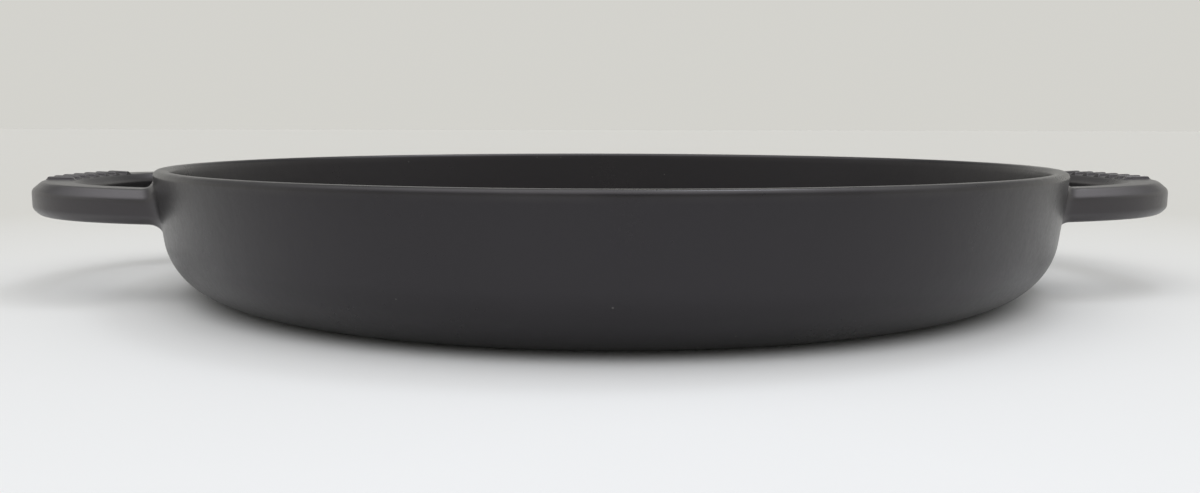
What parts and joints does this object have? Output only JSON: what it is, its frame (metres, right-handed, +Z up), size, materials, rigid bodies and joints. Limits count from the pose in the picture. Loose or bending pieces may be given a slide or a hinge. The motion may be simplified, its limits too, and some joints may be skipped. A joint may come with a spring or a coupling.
{
  "type": "grill pan",
  "caption": "Shallow round cast-iron grill pan with a ribbed cooking floor, a rounded heel, a leaning wall and a flat loop handle on either side.",
  "frame": {"origin": "centre of the flat base, on the surface that the pan stands on", "axes": "+X along the two loop handles, towards the right-hand one, +Y from the front of the pan to the back, +Z up out of the pan"},
  "size_m": [0.383, 0.3, 0.0391],
  "materials": {
    "bowl_enamel": "satin black enamel over fine-grained cast iron",
    "rib_enamel": "matte black enamel, slightly grainy",
    "handle_enamel": "satin black enamel over fine-grained cast iron"
  },
  "bodies": {
    "root": {"pan_body": "bowl_enamel", "grill_rib_01": "rib_enamel", "grill_rib_02": "rib_enamel", "grill_rib_03": "rib_enamel", "grill_rib_04": "rib_enamel", "grill_rib_05": "rib_enamel", "grill_rib_06": "rib_enamel", "grill_rib_07": "rib_enamel", "grill_rib_08": "rib_enamel", "grill_rib_09": "rib_enamel", "grill_rib_10": "rib_enamel", "grill_rib_11": "rib_enamel", "grill_rib_12": "rib_enamel", "grill_rib_13": "rib_enamel", "grill_rib_14": "rib_enamel", "grill_rib_15": "rib_enamel", "grill_rib_16": "rib_enamel", "grill_rib_17": "rib_enamel", "grill_rib_18": "rib_enamel", "grill_rib_19": "rib_enamel", "left_handle": "handle_enamel", "left_grip_ridge_1": "handle_enamel", "left_grip_ridge_2": "handle_enamel", "left_grip_ridge_3": "handle_enamel", "left_grip_ridge_4": "handle_enamel", "left_grip_ridge_5": "handle_enamel", "left_grip_ridge_6": "handle_enamel", "left_grip_ridge_7": "handle_enamel", "right_handle": "handle_enamel", "right_grip_ridge_1": "handle_enamel", "right_grip_ridge_2": "handle_enamel", "right_grip_ridge_3": "handle_enamel", "right_grip_ridge_4": "handle_enamel", "right_grip_ridge_5": "handle_enamel", "right_grip_ridge_6": "handle_enamel", "right_grip_ridge_7": "handle_enamel"}
  },
  "joints": []
}
